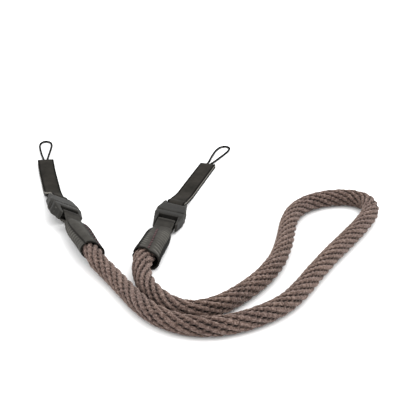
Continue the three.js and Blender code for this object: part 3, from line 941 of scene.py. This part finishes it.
def softened(values, width):
    """Values with their corners rounded off by a moving mean."""
    kernel = np.hanning(width + 2)[1:-1]
    kernel /= kernel.sum()
    padded = np.concatenate([np.full(width, values[0]), values, np.full(width, values[-1])])
    return np.convolve(padded, kernel, mode="same")[width:-width]


def near(degrees, at, width):
    """1 at an angle and falling to 0 over a width."""
    apart = (degrees - at + 180) % 360 - 180
    return np.exp(-((apart / width) ** 2))


def between(degrees, first, last, soft):
    """1 between two angles and 0 outside them, with soft ends."""
    return smoothstep((degrees - first) / soft + 0.5) * (1 - smoothstep((degrees - last) / soft + 0.5))


def fading(share, stretch):
    """1 up to a stretch's start and falling to 0 over its length."""
    start, length = stretch
    return 1 - smoothstep((share - start) / length)


def sleeve_point(end, y, angles, half_width, half_height, square, raised):
    """Points of rolled sections at the distances y, with the relief raised square to the section."""
    x, z = superellipse(angles, square)
    x = x * (half_width + raised)
    z = z * (half_height + raised)
    roll = end.sleeve_roll(y)
    return np.stack(
        [
            x * np.cos(roll) + z * np.sin(roll),
            y + 0 * x,
            end.sleeve_height(y) - x * np.sin(roll) + z * np.cos(roll),
        ],
        axis=-1,
    )


def sleeve_surface(end, share, degrees):
    """The leather's relief, how much further the overlap reaches, its ribs paler from use and a painted
    highlight, and its painted shade.
    """
    y = share * SLEEVE_BODY
    ends = smoothstep(share / RELIEF_BEGINS) * fading(share, RELIEF_FADES)
    folds = fading(share, FOLDS_FADE)
    crease = end.crease - CREASE_SWAY * np.sin(math.pi * share)
    standing = degrees + np.degrees(end.sleeve_roll(y))
    # Painted shade on the sleeve's sides, placed by degrees from straight up
    edges = sum(
        strength * between(standing, first, last, SIDE_SHADE_SOFT) for first, last, strength in end.edges
    )
    lobes = sum(between(degrees, first, last, RIB_SOFT) for first, last in end.ribbed) * (1 - edges)
    slant = y + degrees / 90 * RIB_SLANT
    wave = (0.5 + 0.5 * np.cos(2 * math.pi * slant / RIB_PITCH)) ** RIB_SHARPNESS
    uneven = np.sin(y / RIB_UNEVEN_LENGTH + degrees / RIB_UNEVEN_TURN)
    wave = wave * (1 - RIB_UNEVEN + RIB_UNEVEN * uneven)
    overlap = between(degrees, end.seam + OVERLAP_PAST_SEAM, OVERLAP_LAST, OVERLAP_SOFT)
    relief = RIB_HEIGHT * (wave - RIB_TROUGH) * lobes * ends
    relief = relief + OVERLAP_STEP * overlap * folds
    relief = relief - CREASE_DEPTH * near(degrees, crease, CREASE_WIDTH) * folds
    relief = relief - SEAM_DEPTH * near(degrees, end.seam, SEAM_WIDTH) * folds
    relief = relief + BULGE_HEIGHT * near(degrees, (crease + end.seam) / 2, BULGE_WIDTH) * ends
    longer = OVERLAP_LENGTH * overlap * fading(share, OVERLAP_FADES)
    # Ribs lightened by use together with a painted highlight, over a plain paler tone
    wear_and_highlight = (RIB_WEAR_AND_HIGHLIGHT * wave * lobes + PLAIN_WEAR) * ends
    # Painted shade in the crease and the seam, and on the sides
    shaded = CREASE_SHADE * near(degrees, crease, CREASE_SHADE_WIDTH) * folds
    shaded = shaded + SEAM_SHADE * near(degrees, end.seam, SEAM_SHADE_WIDTH) * folds
    shaded = shaded + edges * fading(share, SIDE_SHADE_FADES)
    return relief, longer, wear_and_highlight, np.clip(1 - shaded, DARKEST, 1)


def make_sleeve(end):
    """Leather folded round the rope: its tip, its outside, the mouth's rim, the lining and the neck."""
    share = np.linspace(0, 1, SLEEVE_ROWS)
    table = sleeve_table(end, share)
    half_width, half_height, square = (softened(values, SLEEVE_SOFTENING)[:, None] for values in table)
    share = share[:, None]
    angles = np.linspace(-math.pi, math.pi, SLEEVE_COLUMNS, endpoint=False)[None, :]
    relief, longer, wear_and_highlight, shade = sleeve_surface(end, share, np.degrees(angles))
    outside = sleeve_point(end, share * SLEEVE_BODY, angles, half_width, half_height, square, relief)
    outside[..., 1] -= longer

    turn = np.linspace(*RIM_TURN, RIM_ROWS)[:, None] * math.pi
    inward = SLEEVE_RIM / 2 * (1 - np.cos(turn))
    rim = sleeve_point(
        end,
        -SLEEVE_RIM * RIM_REACH * np.sin(turn),
        angles,
        half_width[0] - inward,
        half_height[0] - inward,
        square[0],
        relief[0] * (1 - turn / math.pi),
    )
    rim[..., 1] -= longer[0]

    depth = np.linspace(LINING_START, 1, LINING_ROWS)[:, None] * LINING_DEPTH
    table = sleeve_table(end, depth[:, 0] / SLEEVE_BODY)
    pocket_width, pocket_height, pocket_square = (values[:, None] for values in table)
    pocket_width, pocket_height = pocket_width - SLEEVE_RIM, pocket_height - SLEEVE_RIM
    lining = sleeve_point(end, depth, angles, pocket_width, pocket_height, pocket_square, 0)

    closing = np.array(TIP_SHARES)[:, None]
    shrink = 1 - closing**2 * TIP_SHRINK
    tip_width, tip_height = half_width[-1] * shrink, half_height[-1] * shrink
    tip_at = SLEEVE_BODY + closing * TIP_LENGTH
    tip = sleeve_point(end, tip_at, angles, tip_width, tip_height, square[-1], 0)

    def rows_of(tip_value, outside_values, rim_value, lining_value):
        return np.vstack(
            [
                np.full(tip.shape[:2], tip_value),
                outside_values[::-1],
                np.full(rim.shape[:2], rim_value),
                np.full(lining.shape[:2], lining_value),
            ]
        )

    parts = Parts("rib", "open")
    # The outside takes its painted shade, the rim its dark dye and the lining painted shade
    parts.add_rows(
        end.world(np.vstack([tip[::-1], outside[::-1], rim, lining])),
        rib=rows_of(0.0, wear_and_highlight, 0.0, 0.0),
        open=rows_of(1.0, shade, RIM_DARK_DYE, LINING_PAINTED_SHADE),
    )
    add_band(parts, end, np.array(neck_path()), band_section(NECK_WIDTH, SLEEVE_LEATHER))
    sleeve = parts.build(f"sleeve_{end.name}_leather", MATERIALS["sleeve"])
    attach(sleeve, "root")
    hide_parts(f"sleeve_{end.name}")


# Necks

# The band's way: how much lies in the sleeve, how far its layers keep apart there and where they part. Then
# come its darker tone, its edges made paler by rubbing, and the painted shade in its fold.
NECK_HIDDEN = 6 * MM
NECK_CLEARANCE = 0.05 * MM
NECK_PARTS_AT = 0.3
NECK_STEPS = 28
TURN_STEPS = 19
BAND_EDGE_STEPS = 6
NECK_DARKER_TONE = 0.75
NECK_WEAR = 0.25
NECK_FOLD_AT = BAR_AT - 1.6 * MM
NECK_FOLD_WIDTH = 0.6 * MM
NECK_FOLD_SHADE = 0.5


def round_bar(radius):
    """Points half round a bar, along and up, from above it to below it without the first and last."""
    angles = np.linspace(0, math.pi, TURN_STEPS)[1:-1]
    return [(radius * math.sin(angle), radius * math.cos(angle)) for angle in angles]


def neck_path():
    """The neck's middle line, along and up: out of the sleeve, round the bar and back under."""
    out = BAR_DIAMETER / 2 + GAP + SLEEVE_LEATHER / 2
    low = SLEEVE_LEATHER / 2 + NECK_CLEARANCE
    approach = []
    for share in np.linspace(0, 1, NECK_STEPS):
        rise = smoothstep((share - NECK_PARTS_AT) / (1 - NECK_PARTS_AT))
        approach.append((mix(SLEEVE_BODY - NECK_HIDDEN, BAR_AT, share), mix(low, out, rise)))
    turn = [(BAR_AT + y, z) for y, z in round_bar(out)]
    back = [(y, -z) for y, z in reversed(approach)]
    return [*approach, *turn, *back]


def band_section(width, thickness):
    """A flat band's section with round edges, as across and up pairs, and how near each is to an edge."""
    radius = thickness / 2
    section = []
    for hand in (1, -1):
        for a in np.linspace(-math.pi / 2, math.pi / 2, BAND_EDGE_STEPS):
            across = width / 2 - radius + radius * math.cos(a)
            section.append((hand * across, hand * radius * math.sin(a), math.cos(a)))
    return np.array(section)


def add_band(parts, end, path, section):
    """A leather band along a path in the buckle's plane, which is rolled about the end's line."""
    direction = unit(np.gradient(path, axis=0))
    normal = np.stack([-direction[:, 1], direction[:, 0]], axis=1)
    along = path[:, None, 0] + normal[:, None, 0] * section[None, :, 1]
    up = path[:, None, 1] + normal[:, None, 1] * section[None, :, 1]
    across = np.broadcast_to(section[None, :, 0], along.shape)
    roll = end.buckle_roll
    local = np.stack(
        [
            across * math.cos(roll) + up * math.sin(roll),
            along,
            end.buckle_height - across * math.sin(roll) + up * math.cos(roll),
        ],
        axis=-1,
    )
    # Painted shade along the fold on the band's upper side, over the neck's darker tone
    fold = np.exp(-(((along - NECK_FOLD_AT) / NECK_FOLD_WIDTH) ** 2)) * (up > 0)
    shade = NECK_DARKER_TONE - NECK_FOLD_SHADE * fold
    parts.add_rows(end.world(local), rib=NECK_WEAR * section[None, :, 2], open=shade)


# Stitches

# Sizes of a stitch, how it slants in degrees, and how it rises and sinks in shares of its radius
STITCH_PITCH = 3.2 * MM
STITCH_LENGTH = 2.2 * MM
STITCH_RADIUS = 0.32 * MM
STITCH_FLATNESS = 1.3
STITCH_FIRST = 0.7 * MM
STITCHED_SHARE = 0.82
STITCH_SLANT = 5
STITCH_STEPS = 9
STITCH_SIDES = 8
STITCH_RISE = 2.1
STITCH_SINK = 1.2
STITCH_ARCH = 0.6
STITCH_SQUARENESS = 6
STITCH_THINNEST = 0.05


def make_stitches(end):
    """Thread stitches along the seam, each a short capsule that dips into the leather at both ends."""
    parts = Parts()
    around = np.arange(STITCH_SIDES) / STITCH_SIDES * 2 * math.pi
    share = np.linspace(0, 1, STITCH_STEPS)
    arch = np.sin(math.pi * share) ** STITCH_ARCH
    lift = (STITCH_RADIUS * (STITCH_RISE * arch - STITCH_SINK) - SEAM_DEPTH)[:, None]
    girth = np.sqrt(np.clip(1 - (2 * share - 1) ** STITCH_SQUARENESS, STITCH_THINNEST, 1))
    thick = STITCH_RADIUS * girth[:, None, None]
    angle = np.radians(end.seam + (share[:, None] - 0.5) * STITCH_SLANT)
    for number in range(int(STITCHED_SHARE * SLEEVE_BODY / STITCH_PITCH)):
        y = (STITCH_FIRST + number * STITCH_PITCH + share * STITCH_LENGTH)[:, None]
        table = sleeve_table(end, y[:, 0] / SLEEVE_BODY)
        half_width, half_height, square = (values[:, None] for values in table)
        centre = sleeve_point(end, y, angle, half_width, half_height, square, lift)[:, 0]
        forward = unit(np.gradient(centre, axis=0))
        out = unit(np.cross((1.0, 0, 0), forward))
        side = np.cross(forward, out)
        rows = centre[:, None, :] + thick * (
            out[:, None, :] * np.cos(around)[None, :, None]
            + STITCH_FLATNESS * side[:, None, :] * np.sin(around)[None, :, None]
        )
        parts.add_rows(end.world(rows))
    stitches = parts.build(f"stitches_{end.name}", MATERIALS["thread"])
    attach(stitches, "root")


for end in ENDS.values():
    make_sleeve(end)
    make_stitches(end)


# Tabs

# The strip's rounded edges, how dark it is burnished at distances from them, and how its two layers close
TAB_EDGE_ROUND = 0.42 * MM
TAB_EDGE_LINE = [(0.75 * MM, 0.95), (1.5 * MM, 0.0)]
TAB_MERGE = 9 * MM
TAB_CLEARANCE = 0.015 * MM
TAB_STEP = 1.5 * MM
TAB_CLOSING_STEPS = 12
CORNER_STEPS = 4


def tab_path(end):
    """The folded strip's middle line as distances past the bar and heights off the tab's own middle."""
    out = BAR_DIAMETER / 2 + GAP + TAB_LAYER / 2
    lying = TAB_LAYER / 2 + TAB_CLEARANCE
    top = [(along, lying) for along in np.arange(end.tab_end, TAB_MERGE, -TAB_STEP)]
    for along in np.linspace(TAB_MERGE, 0, TAB_CLOSING_STEPS):
        top.append((along, mix(out, lying, smoothstep(along / TAB_MERGE))))
    turn = [(-along, up) for along, up in round_bar(out)]
    back = [(along, -up) for along, up in reversed(top)]
    return [*top, *turn, *back]


def strip_section(width, thickness, corner):
    """A flat strip's section with round corners: across, up, and from 0 to 1 the cut edges' painted highlight
    and burnish.
    """
    section = []
    corners = [(1, -1, -math.pi / 2), (1, 1, 0), (-1, 1, math.pi / 2), (-1, -1, math.pi)]
    for x, z, start in corners:
        for a in np.linspace(start, start + math.pi / 2, CORNER_STEPS):
            across = x * (width / 2 - corner) + corner * math.cos(a)
            up = z * (thickness / 2 - corner) + corner * math.sin(a)
            section.append((across, up, max(0.0, 2 * abs(math.cos(a)) - 1), 1.0))
        if x * z > 0:
            half = [(width / 2 - inset, burnish) for inset, burnish in TAB_EDGE_LINE]
            other = [(-across, burnish) for across, burnish in reversed(half)]
            for across, burnish in [*half, *other]:
                section.append((x * across, z * thickness / 2, 0.0, burnish))
    return np.array(section)


def make_tab(end):
    """One long leather strip folded round the socket's bar, its two layers lying together to the end."""
    path = np.array(tab_path(end))
    section = strip_section(TAB_WIDTH, TAB_LAYER, TAB_EDGE_ROUND)
    middle, _, across, up = end.tab_frame(path[:, 0])
    local_centre = middle + up * path[:, 1][:, None]
    forward = unit(np.gradient(local_centre, axis=0))
    normal = np.cross(across, forward)
    rows = local_centre[:, None, :] + (
        across[:, None, :] * section[None, :, 0, None]
        + normal[:, None, :] * section[None, :, 1, None]
    )
    parts = Parts("edge", "burnish")
    # The painted highlight lies on the upper layer's cut edges only
    upper = smoothstep(path[:, 1] / (TAB_LAYER / 2) + 0.5)[:, None]
    parts.add_rows(end.world(rows), edge=section[None, :, 2] * upper, burnish=section[None, :, 3])
    tab = parts.build(f"tab_{end.name}_leather", MATERIALS["tab"])
    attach(tab, "root")
    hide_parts(f"tab_{end.name}")


for end in ENDS.values():
    make_tab(end)


# Buckles

BUCKLE_MESH = 0.25 * MM
BUCKLE_SMOOTHING = 20
BUCKLE_SMOOTH_SHARE = 0.5


def finish_buckles():
    """The buckles keep their own solids, with softened edges and a moulded plastic finish."""
    for end in ENDS.values():
        for half in ("plug", "socket"):
            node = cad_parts[f"buckle_{half}_{end.name}"]
            node.data.materials.clear()
            node.data.materials.append(MATERIALS["buckle"])
            remesh = node.modifiers.new("even_mesh", "REMESH")
            remesh.mode = "VOXEL"
            remesh.voxel_size = BUCKLE_MESH
            remesh.use_smooth_shade = True
            soft = node.modifiers.new("soft_edges", "SMOOTH")
            soft.factor = BUCKLE_SMOOTH_SHARE
            soft.iterations = BUCKLE_SMOOTHING


finish_buckles()


# Floor and light

FLOOR_HALF = 6.0
FLOOR_WHITE = 0.93
LIGHT_SIZE = 1.2
LIGHTS = [
    ("key", (0.6, 0.1, 1.1), 5),
    ("fill", (-0.9, -0.6, 0.9), 1),
    ("back", (0.1, 1.0, 0.9), 2),
]
WORLD_STRENGTH = 1.1


def make_floor():
    corners = [(x * FLOOR_HALF, y * FLOOR_HALF, 0) for x, y in ((-1, -1), (1, -1), (1, 1), (-1, 1))]
    shader = Shader("floor_paper", roughness=0.9, specular=0.1)
    shader.bsdf.inputs["Base Color"].default_value = grey(FLOOR_WHITE)
    floor = new_object("floor", corners, [(0, 1, 2, 3)], shader.material, smooth=False)


def make_light(name, place, power):
    """A soft round light that faces the strap."""
    data = bpy.data.lights.new(name, "AREA")
    data.shape = "DISK"
    data.size = LIGHT_SIZE
    data.energy = power * STUDIO_LEVEL
    light = bpy.data.objects.new(name, data)
    bpy.context.scene.collection.objects.link(light)
    turn = (-Vector(place)).to_track_quat("-Z", "Y").to_matrix().to_4x4()
    light.matrix_world = Matrix.Translation(Vector(place)) @ turn


def make_world():
    world = bpy.data.worlds.new("studio")
    bpy.context.scene.world = world
    world.use_nodes = True
    background = world.node_tree.nodes["Background"]
    background.inputs["Color"].default_value = grey(1)
    background.inputs["Strength"].default_value = WORLD_STRENGTH * STUDIO_LEVEL


make_floor()
for name, place, power in LIGHTS:
    make_light(name, place, power)
make_world()
bpy.context.scene.view_settings.view_transform = "Standard"
